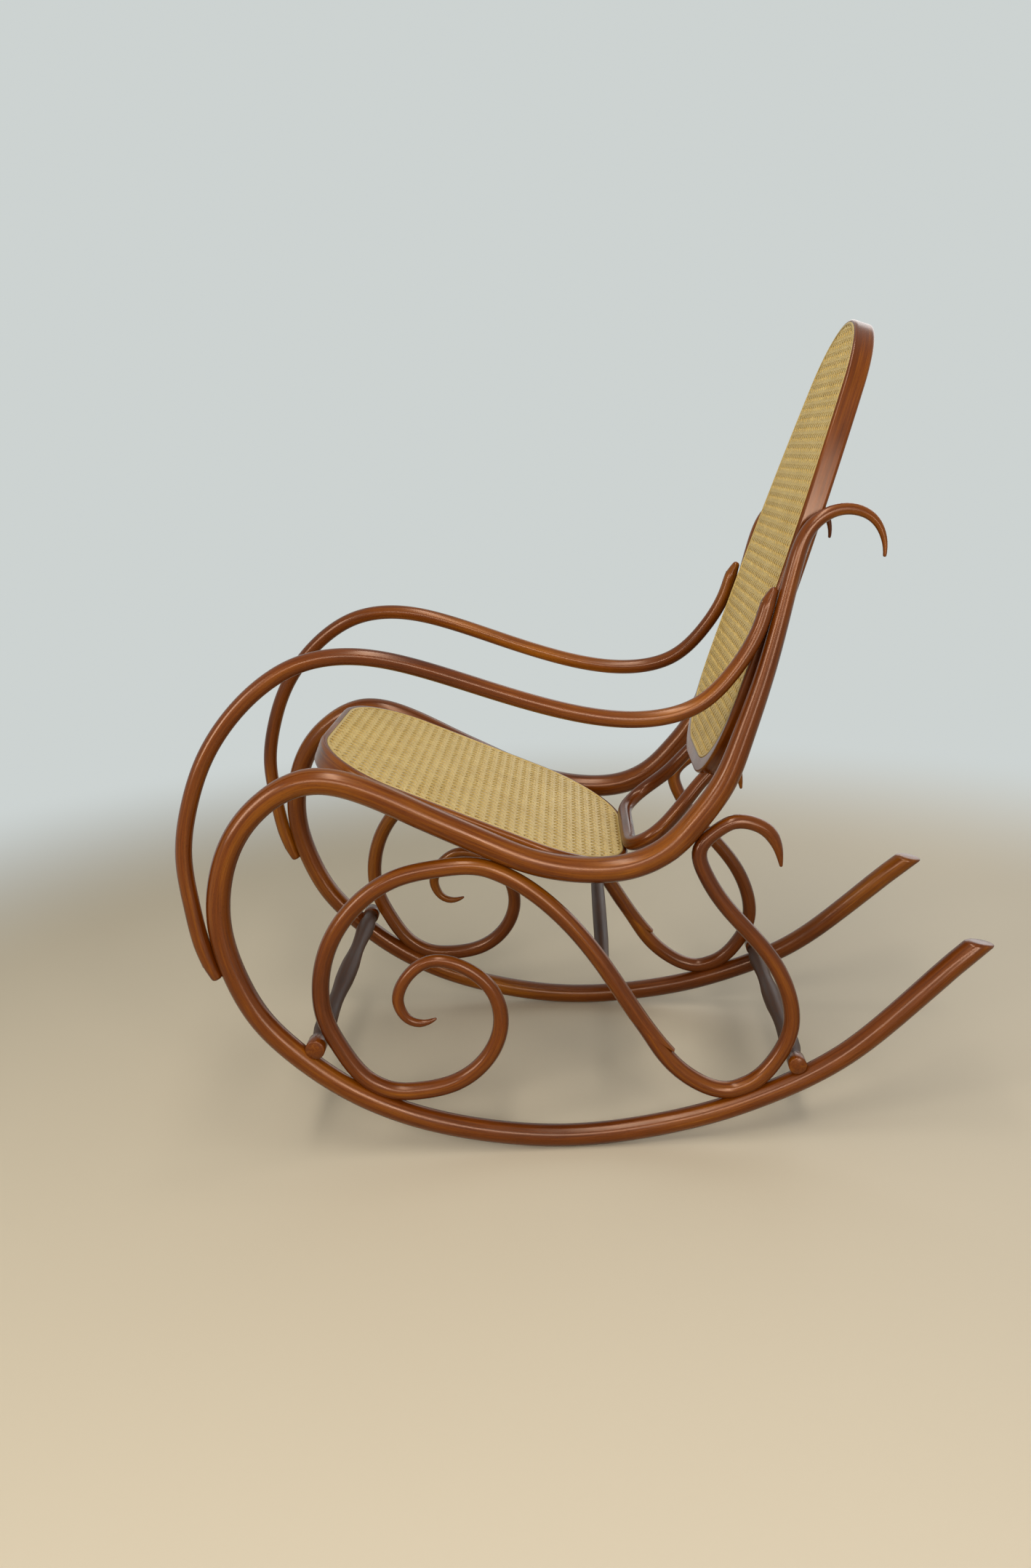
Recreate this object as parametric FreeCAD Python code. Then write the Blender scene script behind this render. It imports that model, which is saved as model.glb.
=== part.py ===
"""Bentwood rocking chair with cane seat and back.

Millimetres, +Z up, the sitter faces -Y and the sitter's left is +X. The floor is Z = 0 and the
chair is symmetric about the plane X = 0. Every bent rod of a side lies in one flat plane, which
is then splayed and leaned into its place.
"""
import math
import os

import FreeCAD
import Part
from FreeCAD import Placement, Rotation, Vector

# splay and lean of the two side frames
SPLAY = 3.9
LEAN = 2.5

# rod diameters
RUNNER_D = 31.0
RUNNER_TIP_D = 28.0
LOOP_D = 32.0
SEAT_RAIL_D = 35.5
POST_D = 33.0
POST_MID_D = 26.0
POST_TOP_D = 22.0
HOOK_D = 15.5
HOOK_TIP_D = 4.3
ARM_D = 22.0
ARM_REAR_D = 20.5
ARM_TIP_D = 12.0
SCROLL_D = 24.0
SPIRAL_D = 17.0
SPIRAL_TIP_D = 3.0
REAR_SCROLL_D = 22.0
REAR_HOOK_D = 19.4
REAR_TIP_D = 4.0
SCROLL_BAR_D = 21.0
BOW_D = 21.0
BOW_HALF = 118.0
BOW_FOOT_HALF = 91.0

# joints
CLEARANCE = 0.2
SCROLL_LET_IN = 4.5
SADDLE_DEPTH = 4.0
SCARF_LENGTH = 74.0
SCARF_STEP = 3.0
SCREW_D = 4.0
SCREW_HEAD_D = 8.0
SCREW_HEAD_H = 2.4

# seat: height of the cane over the floor at Y = 0, fall towards the back, outline of the cane
SEAT_HEIGHT = 404.8
SEAT_FALL = 23.0
SEAT_FRONT = -393.0
SEAT_REAR = 48.0
SEAT_HALF = 198.0
SEAT_FRONT_R = 112.0
SEAT_REAR_R = 130.0
SEAT_RIM = 12.5
SEAT_HOOP_H = 34.0
RAIL_OFFSET = 20.0

# half the spacing of the side frames, from the seat that they hold
HALF_SPACING = SEAT_HALF + SEAT_RIM + RAIL_OFFSET

# back: foot of the cane plane, lean from vertical, egg outline of the cane, wood outside and inside it
BACK_FOOT = (159.0, 520.0)
BACK_LEAN = 19.03
BACK_INSET = 66.5
BACK_HALF = HALF_SPACING - BACK_INSET
BACK_CORNER_R = 117.0
BACK_BOTTOM = -4.0
BACK_TOP_R = 109.0
BACK_TOP_H = 492.5
BACK_RIM = 8.0
BACK_FOOT_RIM = 26.0
BACK_LEDGE = 20.0
BACK_FOOT_LEDGE = 8.0
BACK_HOOP_DEPTH = 28.0

# cane and the strip that holds it; the weave is a plain grid of openings, coarser than the real one
CANE_T = 2.0
CANE_CELLS = 12
BACK_CELLS_ACROSS = 8
CANE_OPEN = 0.6
LEDGE = 11.0
GROOVE_W = 4.2
GROOVE_DEPTH = 6.0
SPLINE_PROUD = 0.6
EDGE = 4.0
BACK_EDGE = 3.0

# the slanting cut at the rear tip of a runner, as two points of its side plane
TIP_CUT = ((510.0, 275.0), (550.0, 272.4))

# rings of a bent rod: turning between two rings, longest span
BEND_STEP = math.radians(14.0)
SPAN = 62.0


class Rod:
    """A bent round rod: a smooth line through a few points, each with its own diameter."""

    def __init__(self, points, side=Vector(1, 0, 0)):
        self.side = side
        self.spots = [p if isinstance(p[0], Vector) else (Vector(0, p[0], p[1]), p[2]) for p in points]
        self.line = Part.BSplineCurve()
        self.line.interpolate([spot[0] for spot in self.spots])
        self.knots = self.line.getKnots()
        self.marks = [self.knots[0], self.knots[-1]]
        self.marks += [k for k, p in zip(self.knots, points) if len(p) > 3]

    def near(self, u, v):
        return self.line.parameter(Vector(0, u, v))

    def radius(self, t):
        for i in range(len(self.knots) - 1):
            a, b = self.knots[i], self.knots[i + 1]
            if t <= b or i == len(self.knots) - 2:
                k = min(max((t - a) / (b - a), 0.0), 1.0)
                return (self.spots[i][1] * (1 - k) + self.spots[i + 1][1] * k) / 2
        return 0.0

    def tangent(self, t):
        return self.line.tangent(t)[0]

    def normal(self, t):
        return self.side.cross(self.tangent(t))

    def beside(self, t, turn, distance):
        return self.line.value(t) + self.normal(t) * turn * distance

    def stations(self, start, end):
        """Ring places: even steps of bending and length between the marked places."""
        stops = sorted({start, end} | {m for m in self.marks if start < m < end})
        places = [stops[0]]
        for a, b in zip(stops, stops[1:]):
            pieces = 60
            ts = [a + (b - a) * i / pieces for i in range(pieces + 1)]
            effort = [0.0]
            for t0, t1 in zip(ts, ts[1:]):
                turn = self.tangent(t0).getAngle(self.tangent(t1))
                length = (self.line.value(t1) - self.line.value(t0)).Length
                effort.append(effort[-1] + max(turn / BEND_STEP, length / SPAN))
            count = max(1, math.ceil(effort[-1]))
            for k in range(1, count):
                goal = effort[-1] * k / count
                i = next(j for j, e in enumerate(effort) if e >= goal)
                share = (goal - effort[i - 1]) / (effort[i] - effort[i - 1])
                places.append(ts[i - 1] + (ts[i] - ts[i - 1]) * share)
            places.append(b)
        return places

    def ring(self, t, grow):
        axis = self.tangent(t)
        circle = Part.Circle(Vector(0, 0, 0), Vector(0, 0, 1), self.radius(t) + grow).toShape()
        circle.Placement = Placement(self.line.value(t), Rotation(self.side, axis.cross(self.side), axis, "XYZ"))
        return Part.Wire([circle])

    def solid(self, grow=0.0, start=None, end=None):
        start = self.knots[0] if start is None else start
        end = self.knots[-1] if end is None else end
        return Part.makeLoft([self.ring(t, grow) for t in self.stations(start, end)], True, True)

    def stretch(self, t, reach, grow):
        """The part of the rod within reach of one place, grown for clearance."""
        start = max(self.knots[0], self.line.parameterAtDistance(-reach, t))
        end = min(self.knots[-1], self.line.parameterAtDistance(reach, t))
        return self.solid(grow, start, end)


def against(carrier, spot, turn, diameters, reach, bend, let_in=0.0):
    """Three points of a rod that touches its carrier beside a spot.

    On both sides of the spot it parts from the carrier like an arc of the given bend.
    """
    t = carrier.near(*spot)
    carrier.marks.append(t)
    points = []
    for step, d in zip((-1, 0, 1), diameters):
        place = carrier.line.parameterAtDistance(step * reach, t) if step else t
        gap = CLEARANCE - let_in + abs(step) * reach ** 2 / (2 * bend)
        p = carrier.beside(place, turn, carrier.radius(place) + d / 2 + gap)
        points.append((p.y, p.z, d, True) if step == 0 else (p.y, p.z, d))
    return points


# the long rod: runner from the rear tip, front loop, seat rail, back post, top hook
rail = Rod([
    (542, 284, RUNNER_TIP_D),
    (472, 224, RUNNER_D),
    (412, 171, RUNNER_D),
    (351, 122, RUNNER_D),
    (291, 88, RUNNER_D),
    (231, 63, RUNNER_D),
    (173, 44, RUNNER_D),
    (95, 27, RUNNER_D),
    (-45, 15.5, RUNNER_D),
    (-148, 27, RUNNER_D),
    (-243, 52, RUNNER_D),
    (-345, 103, RUNNER_D),
    (-409, 156, LOOP_D),
    (-452, 206, LOOP_D),
    (-481, 267, LOOP_D),
    (-497, 340, LOOP_D),
    (-492, 400, LOOP_D),
    (-470, 458, LOOP_D),
    (-425, 508, LOOP_D),
    (-366, 533, SEAT_RAIL_D),
    (-300, 520, SEAT_RAIL_D),
    (-226, 484, SEAT_RAIL_D),
    (-145, 444, SEAT_RAIL_D),
    (-71, 412, SEAT_RAIL_D),
    (-2, 399.5, SEAT_RAIL_D),
    (58, 404, SEAT_RAIL_D),
    (110, 430, SEAT_RAIL_D),
    (139, 460, POST_D + 1.5),
    (177, 512, POST_D),
    (200, 568, POST_D - 3),
    (225, 640, POST_MID_D),
    (253.5, 743, POST_TOP_D),
    (267, 796, POST_TOP_D - 1),
    (286, 838, HOOK_D + 3),
    (318.6, 857, HOOK_D),
    (344.3, 856.2, HOOK_D - 1.3),
    (364.4, 845.1, HOOK_D - 3.7),
    (376.6, 825.3, HOOK_D - 6.8),
    (379.3, 797, HOOK_TIP_D),
])

arm = Rod(
    against(rail, (-489, 297), 1, (ARM_TIP_D, ARM_D - 3, ARM_D), 24, 400) + [
        (-532, 372, ARM_D),
        (-537, 440, ARM_D),
        (-523, 508, ARM_D),
        (-498, 568, ARM_D),
        (-463, 618, ARM_D),
        (-420, 658, ARM_D),
        (-371, 685, ARM_D),
        (-301, 694, ARM_D),
        (-215, 676, ARM_D),
        (-129, 646, ARM_D),
        (-57, 622, ARM_D),
        (18, 604, ARM_D),
        (90, 601, ARM_D),
        (142, 616, ARM_REAR_D + 1),
        (190, 660, ARM_REAR_D),
    ] + against(rail, (252, 738), 1, (ARM_REAR_D - 0.5, ARM_REAR_D - 1, ARM_TIP_D - 3), 22, 400))

front_scroll = Rod([
    (-214.6, 197.3, SPIRAL_TIP_D),
    (-221, 194.2, SPIRAL_TIP_D + 3.5),
    (-238.1, 191.1, SPIRAL_D - 5.8),
    (-252.5, 197, SPIRAL_D - 4.2),
    (-262.6, 211.2, SPIRAL_D - 2),
    (-265.8, 225, SPIRAL_D - 0.7),
    (-262.8, 240, SPIRAL_D),
    (-254, 256, SPIRAL_D),
    (-222, 279, SPIRAL_D),
    (-175, 269, 18.5),
    (-138, 235, 20),
    (-127, 190, 21.5),
    (-147, 137, 23),
    (-190, 103, SCROLL_D),
    (-240, 92, SCROLL_D),
] + against(rail, (-308, 81), -1, (SCROLL_D, SCROLL_D, SCROLL_D), 14, 150, SCROLL_LET_IN) + [
    (-346, 158, SCROLL_D),
    (-366, 205, SCROLL_D),
    (-368, 258, SCROLL_D),
    (-349, 318, SCROLL_D),
    (-311, 366, SCROLL_D),
    (-262, 397, SCROLL_D),
    (-205, 409, SCROLL_D),
] + against(rail, (-112, 430), -1, (SCROLL_D, SCROLL_D, SCROLL_D), 14, 130) + [
    (-61, 357, SCROLL_D),
    (-17, 309, SCROLL_D),
    (21, 254, SCROLL_D),
    (56, 196, SCROLL_D),
    (74, 168, SCROLL_D),
    (108, 124, SCROLL_D),
])

rear_scroll = Rod([
    (21, 254, SCROLL_D),
    (56, 196, SCROLL_D),
    (74, 168, SCROLL_D),
    (100, 127, SCROLL_D),
    (134, 94, SCROLL_D),
] + against(rail, (213, 56), -1, (SCROLL_D, SCROLL_D, SCROLL_D - 0.5), 14, 110, SCROLL_LET_IN)[::-1] + [
    (252, 118, SCROLL_D - 1),
    (271, 160, REAR_SCROLL_D + 0.5),
    (267, 212, REAR_SCROLL_D),
    (239, 270, REAR_SCROLL_D),
    (184, 337, REAR_SCROLL_D - 0.5),
    (152, 389, REAR_SCROLL_D - 1),
] + against(rail, (131, 451), -1, (REAR_SCROLL_D - 1.5, REAR_HOOK_D + 0.6, REAR_HOOK_D + 0.1), 9, 32) + [
    (175, 451, REAR_HOOK_D),
    (188.6, 457.2, REAR_HOOK_D),
    (201, 458.2, REAR_HOOK_D),
    (214.2, 455.6, REAR_HOOK_D),
    (226.4, 450.4, REAR_HOOK_D),
    (236.5, 443, REAR_HOOK_D),
    (243.8, 433, REAR_HOOK_D - 2),
    (249, 421.4, REAR_HOOK_D - 5.7),
    (252.5, 407, REAR_HOOK_D - 10.6),
    (254.3, 393.5, REAR_TIP_D),
])

FRAME = Placement(Vector(HALF_SPACING, 0, 0), Rotation(Vector(0, 0, 1), SPLAY) * Rotation(Vector(0, 1, 0), -LEAN))
parts = {}


def on_left(shape):
    shape = shape.copy()
    shape.Placement = FRAME * shape.Placement
    return shape


def mirrored(shape):
    return shape.mirror(Vector(0, 0, 0), Vector(1, 0, 0))


def both(shape):
    return [shape, mirrored(shape)]


def world(point):
    return FRAME.multVec(point)


# turned parts between the two sides
def turned(profile, half, y, z):
    """A spindle along X: profile gives (share of the half length, radius) from the middle outwards."""
    pts = [Vector(half * share, 0, r) for share, r in profile]
    pts = [Vector(-p.x, 0, p.z) for p in reversed(pts)] + pts[1:]
    outline = Part.makePolygon([Vector(-half, 0, 0)] + pts + [Vector(half, 0, 0), Vector(-half, 0, 0)])
    body = Part.Face(outline).revolve(Vector(0, 0, 0), Vector(1, 0, 0), 360)
    body.translate(Vector(0, y, z))
    return body


def perch(carrier, spot, radius, sink):
    """Place of a cross spindle that sits on the inner side of a carrier rod, let in by a saddle."""
    t = carrier.near(*spot)
    carrier.marks.append(t)
    return t, world(carrier.beside(t, -1, carrier.radius(t) + radius - sink))


def spindle(carrier, spot, belly, waist, neck, cap, sink):
    t, place = perch(carrier, spot, cap, sink)
    half = place.x + carrier.radius(t) - 3
    body = turned([(0, belly), (0.12, belly * 0.97), (0.24, belly * 0.84), (0.33, waist), (0.42, waist),
                   (0.54, belly * 0.86), (0.66, belly), (0.76, belly * 0.93), (0.85, neck), (0.89, neck),
                   (0.90, cap - 1), (0.905, cap), (0.996, cap), (1, cap - 1)], half, place.y, place.z)
    for seat in both(on_left(carrier.stretch(t, 45, CLEARANCE))):
        body = body.cut(seat)
    return body


front_stretcher = spindle(rail, (-397, 145), 14.5, 11.2, 10.5, 13.5, SADDLE_DEPTH)
rear_stretcher = spindle(rail, (291, 88), 14.0, 11.0, 9.5, 12.5, SADDLE_DEPTH - 1.5)

bar_t = front_scroll.near(14, 265)
front_scroll.marks.append(bar_t)
bar_place = world(front_scroll.line.value(bar_t))
bar_r = SCROLL_BAR_D / 2
scroll_stretcher = turned([(0, bar_r), (0.6, bar_r * 0.95), (0.93, bar_r * 0.8), (1, bar_r * 0.8)],
                          bar_place.x - 5, bar_place.y, bar_place.z)
for seat in both(on_left(front_scroll.stretch(bar_t, 45, CLEARANCE))):
    scroll_stretcher = scroll_stretcher.cut(seat)


# seat and back panels, drawn flat: x across, y along the panel, z out of its front face
def seat_outline(out):
    w, f, b = SEAT_HALF + out, SEAT_FRONT - out, SEAT_REAR + out
    q = math.sqrt(0.5)
    edges = []
    for side in (1, -1):
        ends = []
        for edge, r, way in ((f, SEAT_FRONT_R + out, 1), (b, SEAT_REAR_R + out, -1)):
            cx, cy = w - r, edge + way * r
            ends.append(Vector(side * w, cy, 0))
            edges.append(Part.Arc(Vector(side * cx, edge, 0), Vector(side * (cx + r * q), cy - way * r * q, 0),
                                  Vector(side * w, cy, 0)).toShape())
        edges.append(Part.makeLine(*ends))
    for edge, r in ((f, SEAT_FRONT_R), (b, SEAT_REAR_R)):
        edges.append(Part.makeLine(Vector(r - SEAT_HALF, edge, 0), Vector(SEAT_HALF - r, edge, 0)))
    return Part.Wire(Part.__sortEdges__(edges))


def egg(out, foot):
    """Outline of the back's cane moved outwards, its foot by an amount of its own."""
    w, top, low = BACK_HALF + out, BACK_TOP_R + out, BACK_BOTTOM - foot
    r = BACK_CORNER_R + out
    cx, cy = w - r, low + r
    rise = BACK_TOP_H - cy
    flank = (rise ** 2 + w ** 2 - top ** 2) / (2 * (w - top))
    run = flank - top
    tx, ty = top * (flank - w) / run, BACK_TOP_H + top * rise / run
    half = math.asin(rise / run) / 2
    mx, my = w - flank + flank * math.cos(half), cy + flank * math.sin(half)
    q = math.sqrt(0.5)
    edges = [Part.makeLine(Vector(-cx, low, 0), Vector(cx, low, 0))]
    edges.append(Part.Arc(Vector(tx, ty, 0), Vector(0, BACK_TOP_H + top, 0), Vector(-tx, ty, 0)).toShape())
    for side in (1, -1):
        edges.append(Part.Arc(Vector(side * cx, low, 0), Vector(side * (cx + r * q), cy - r * q, 0),
                              Vector(side * w, cy, 0)).toShape())
        edges.append(Part.Arc(Vector(side * w, cy, 0), Vector(side * mx, my, 0), Vector(side * tx, ty, 0)).toShape())
    return Part.Wire(Part.__sortEdges__(edges))


def seat_edge(out):
    return seat_outline(SEAT_RIM + out)


def seat_hole(out):
    return seat_outline(out - LEDGE)


def back_outline(out):
    return egg(out, out)


def back_edge(out):
    return egg(BACK_RIM + out, BACK_FOOT_RIM + out)


def back_hole(out):
    return egg(out - BACK_LEDGE, out - BACK_FOOT_LEDGE)


def slab(wire, low, high):
    face = Part.Face(wire)
    face.translate(Vector(0, 0, low))
    return face.extrude(Vector(0, 0, high - low))


def openings(hole, across, along):
    """Rectangles of a plain grid that lie wholly over the opening of the hoop."""
    clear = Part.Face(hole(-1))
    box = clear.BoundBox
    dx, dy = box.XLength / across, box.YLength / along
    wires = []
    for i in range(across):
        for j in range(along):
            cx, cy = box.XMin + dx * (i + 0.5), box.YMin + dy * (j + 0.5)
            hx, hy = dx * CANE_OPEN / 2, dy * CANE_OPEN / 2
            corners = [Vector(cx + sx * hx, cy + sy * hy, 0) for sx, sy in ((-1, -1), (1, -1), (1, 1), (-1, 1))]
            if all(clear.isInside(c, 0.01, True) for c in corners):
                wires.append(Part.makePolygon(corners + corners[:1]))
    return wires


def panel(outlines, bend, depth, across, along):
    """Hoop with a cane ledge and a groove, the cane sheet on the ledge and the spline in the groove."""
    outline, edge, hole = outlines
    hoop = Part.makeLoft([edge(-bend), edge(0).translated(Vector(0, 0, -bend))], True, True)
    hoop = hoop.fuse(slab(edge(0), bend - depth, -bend))
    hoop = hoop.fuse(Part.makeLoft([edge(0).translated(Vector(0, 0, bend - depth)),
                                    edge(-bend).translated(Vector(0, 0, -depth))], True, True))
    hoop = hoop.cut(slab(hole(0), -depth - 1, 1))
    hoop = hoop.cut(slab(outline(0), -CANE_T - CLEARANCE, 1))
    groove = slab(outline(GROOVE_W), -GROOVE_DEPTH, 1).cut(slab(outline(0), -GROOVE_DEPTH - 1, 2))
    hoop = hoop.cut(groove)
    cane = Part.makeFace([outline(-CLEARANCE)] + openings(hole, across, along), "Part::FaceMakerBullseye")
    cane.translate(Vector(0, 0, -CANE_T))
    cane = cane.extrude(Vector(0, 0, CANE_T))
    strip = slab(outline(GROOVE_W - CLEARANCE), CLEARANCE - GROOVE_DEPTH, SPLINE_PROUD)
    strip = strip.cut(slab(outline(CLEARANCE), -GROOVE_DEPTH - 1, 2))
    return hoop, cane, strip


SEAT_PLACE = Placement(Vector(0, 0, SEAT_HEIGHT), Rotation(Vector(1, 0, 0), -SEAT_FALL))
BACK_PLACE = Placement(Vector(0, BACK_FOOT[0], BACK_FOOT[1]), Rotation(Vector(1, 0, 0), 90 - BACK_LEAN))


def placed(shapes, place):
    out = []
    for shape in shapes:
        shape.Placement = place * shape.Placement
        out.append(shape)
    return out


seat_hoop, seat_cane, seat_spline = placed(
    panel((seat_outline, seat_edge, seat_hole), EDGE, SEAT_HOOP_H, CANE_CELLS, CANE_CELLS), SEAT_PLACE)
back_hoop, back_cane, back_spline = placed(
    panel((back_outline, back_edge, back_hole), BACK_EDGE, BACK_HOOP_DEPTH, BACK_CELLS_ACROSS, CANE_CELLS), BACK_PLACE)

# bow behind the seat: its bar rests on the rear of the seat hoop, its ends meet the foot of the back hoop
bow_y = SEAT_REAR + (GROOVE_W + SEAT_RIM) / 2
bar = SEAT_PLACE.multVec(Vector(0, bow_y, BOW_D / 2 + CLEARANCE))
corner = BACK_CORNER_R + BACK_RIM
foot_h = BACK_BOTTOM - BACK_FOOT_RIM + corner
foot_h -= math.sqrt(corner ** 2 - (BOW_FOOT_HALF - BACK_HALF + BACK_CORNER_R) ** 2)
foot = BACK_PLACE.multVec(Vector(0, foot_h, -BACK_HOOP_DEPTH / 2))
rise = foot - bar
bow_side = Vector(1, 0, 0).cross(rise).normalize()
half_bow = [
    (Vector(BOW_FOOT_HALF - 1, 0, 0) + foot + rise * 0.06, BOW_D - 3),
    (Vector(BOW_FOOT_HALF, 0, 0) + foot, BOW_D - 2),
    (Vector((BOW_FOOT_HALF + BOW_HALF) / 2, 0, -8) + bar + rise * 0.62, BOW_D),
    (Vector(BOW_HALF - 1, 0, -5) + bar + rise * 0.25, BOW_D),
    (Vector(BOW_HALF * 0.81, 0, 0) + bar + rise * 0.045, BOW_D),
    (Vector(BOW_HALF * 0.52, 0, 0) + bar, BOW_D),
]
bow = Rod(half_bow + [(bar, BOW_D)] + [(Vector(-p.x, p.y, p.z), d) for p, d in reversed(half_bow)], bow_side)
back_bow = bow.solid()

# where the side rods and the panels meet
tip_low, tip_high = (Vector(-40, *TIP_CUT[0]), Vector(-40, *TIP_CUT[1]))
tip_way = (tip_high - tip_low).normalize()
tip_corners = [tip_low - tip_way * 20, tip_high + tip_way * 20]
tip_corners += [p + Vector(0, 0, 60) for p in reversed(tip_corners)]
tip_block = Part.Face(Part.makePolygon(tip_corners + tip_corners[:1])).extrude(Vector(80, 0, 0))
rail_left = on_left(rail.solid().cut(tip_block))
post_near = on_left(rail.stretch(rail.near(238, 690), 170, CLEARANCE))
seat_rail_near = Part.makeLoft([seat_outline(SEAT_RIM + CLEARANCE).translated(Vector(0, 0, 40)),
                                seat_outline(SEAT_RIM + CLEARANCE).translated(Vector(0, 0, -SEAT_HOOP_H - CLEARANCE))],
                               True, True)
seat_rail_near.Placement = SEAT_PLACE
rail_left = rail_left.cut(seat_rail_near)
for post in both(post_near):
    back_hoop = back_hoop.cut(post)
hoop_block = slab(back_edge(CLEARANCE), -BACK_HOOP_DEPTH - 5, 5)
hoop_block.Placement = BACK_PLACE
back_bow = back_bow.cut(hoop_block)


# scarf between the front scroll and the rear scroll
def scarf_cut(keep_upper, gap):
    """Half space block on one side of the slanting cut, both ends stepped so that no edge is sharp."""
    top, low = Vector(0, 39, 224), Vector(0, 107, 125)
    run = (low - top).normalize()
    out = Vector(1, 0, 0).cross(run)
    middle = front_scroll.line.value(front_scroll.near(78, 162))
    r = SCROLL_D / 2
    a, b = middle - run * SCARF_LENGTH / 2, middle + run * SCARF_LENGTH / 2
    wall = 80
    corners = [a - out * wall, a - out * (r - SCARF_STEP), b + out * (r - SCARF_STEP), b + out * wall]
    far = middle + run * (wall * 3) * (-1 if keep_upper else 1)
    shift = run * (gap / 2) * (-1 if keep_upper else 1)
    outline = [c + shift for c in corners] + [far + out * wall, far - out * wall]
    face = Part.Face(Part.makePolygon(outline + outline[:1]))
    block = face.extrude(Vector(60, 0, 0))
    block.translate(Vector(-30, 0, 0))
    return block


front_body = front_scroll.solid().common(scarf_cut(True, CLEARANCE).fuse(
    Part.makeBox(200, 700, 900, Vector(-100, -660, 0))).removeSplitter())
rear_body = rear_scroll.solid()
rear_body = rear_body.cut(scarf_cut(True, -CLEARANCE))

arm_body = arm.solid()

# the scrolls are let into the runner by a shallow saddle
for spot in ((-308, 81), (213, 56)):
    seat = rail.stretch(rail.near(*spot), 70, CLEARANCE)
    front_body = front_body.cut(seat)
    rear_body = rear_body.cut(seat)


# screws: a countersunk head and a shank, each with the hole it needs
def screw(point, direction, length):
    axis = Vector(direction).normalize()
    head = Part.makeCone(SCREW_HEAD_D / 2, SCREW_D / 2, SCREW_HEAD_H, point, axis)
    body = head.fuse(Part.makeCylinder(SCREW_D / 2, length, point, axis))
    mouth = Part.makeCylinder(SCREW_HEAD_D / 2 + 0.1, 3, point, axis * -1)
    hole = Part.makeCone(SCREW_HEAD_D / 2 + 0.1, SCREW_D / 2 + 0.1, SCREW_HEAD_H, point, axis)
    hole = hole.fuse([Part.makeCylinder(SCREW_D / 2 + 0.1, length + 0.1, point, axis), mouth])
    return body, hole


def through(rod, t, turn, into, length=34.0):
    """Screw across a rod in the plane of the side, from its outer face into the neighbour."""
    start = rod.beside(t, -turn, rod.radius(t) - 0.8)
    return screw(start, rod.normal(t) * turn, length)


arm_screws, scroll_screws, holes = [], [], []
low_t = arm.knots[1]
high_t = arm.knots[-2]
arm_screws.append(through(arm, low_t, -1, rail, 32))
arm_screws.append(through(arm, high_t, -1, rail, 30))
for spot, turn, length in (((-322, 121), 1, 36), ((-150, 414), 1, 42)):
    scroll_screws.append(through(front_scroll, front_scroll.near(*spot), turn, rail, length))
for spot, turn, length in (((205, 84), -1, 36), ((151, 432), 1, 34)):
    scroll_screws.append(through(rear_scroll, rear_scroll.near(*spot), turn, rail, length))
for spot, turn in (((58, 193), 1), ((88, 150), 1)):
    t = front_scroll.near(*spot)
    scroll_screws.append(through(front_scroll, t, turn, rear_scroll, 20))

for body, hole in arm_screws + scroll_screws:
    arm_body = arm_body.cut(hole)
    front_body = front_body.cut(hole)
    rear_body = rear_body.cut(hole)
    rail_left = rail_left.cut(on_left(hole))


def cluster(screws):
    return Part.makeCompound([s[0] for s in screws])


parts["side_rail_left"] = rail_left
parts["side_rail_right"] = mirrored(rail_left)
for name, body in (("arm", arm_body), ("front_scroll", front_body), ("rear_scroll", rear_body),
                   ("arm_screws", cluster(arm_screws)), ("scroll_screws", cluster(scroll_screws))):
    parts[name + "_left"] = on_left(body)
    parts[name + "_right"] = mirrored(on_left(body))
parts["front_stretcher"] = front_stretcher
parts["rear_stretcher"] = rear_stretcher
parts["scroll_stretcher"] = scroll_stretcher
parts["seat_hoop"] = seat_hoop
parts["seat_cane"] = seat_cane
parts["seat_spline"] = seat_spline
parts["back_hoop"] = back_hoop
parts["back_cane"] = back_cane
parts["back_spline"] = back_spline
parts["back_bow"] = back_bow

# origin at the middle of the footprint, on the floor
box = FreeCAD.BoundBox()
for shape in parts.values():
    box.add(shape.optimalBoundingBox(False, False))
shift = Vector(-(box.XMin + box.XMax) / 2, -(box.YMin + box.YMax) / 2, -box.ZMin)

os.makedirs("parts", exist_ok=True)
for name, shape in parts.items():
    shape.translate(shift)
    shape.exportStep("parts/" + name + ".step")
    print(name, shape.isValid(), len(shape.Solids), round(shape.Volume / 1000, 1), "cm3")
print("size", round(box.XLength, 1), round(box.YLength, 1), round(box.ZLength, 1), "shift", shift)
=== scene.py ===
"""Looks of a bentwood rocking chair with scrolled sides, curved arms, cane seat and cane back.

The tables of rods and stretchers are in millimetres. The rods of a side are drawn in its flat
plane, with u towards the back and v up, as they were bent. Everything else is in metres in the
chair's own frame.
"""
import math
import random

import bmesh
import bpy
from mathutils import Matrix, Vector


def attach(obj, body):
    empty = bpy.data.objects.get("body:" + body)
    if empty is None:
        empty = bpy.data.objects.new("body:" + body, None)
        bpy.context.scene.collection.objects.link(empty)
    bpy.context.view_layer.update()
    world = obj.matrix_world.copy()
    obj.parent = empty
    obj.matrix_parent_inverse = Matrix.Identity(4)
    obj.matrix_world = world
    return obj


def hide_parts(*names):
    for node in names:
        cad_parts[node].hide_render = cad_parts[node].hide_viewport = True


bl_info = {
    "name": "Bentwood rocking chair",
    "version": (1, 0, 0),
    "blender": (4, 5, 0),
    "location": "3D View > Sidebar > Rocking Chair",
    "description": "Varnished bent rods, turned stretchers, woven cane and screws of a rocking chair",
    "category": "Add Mesh",
}

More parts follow.
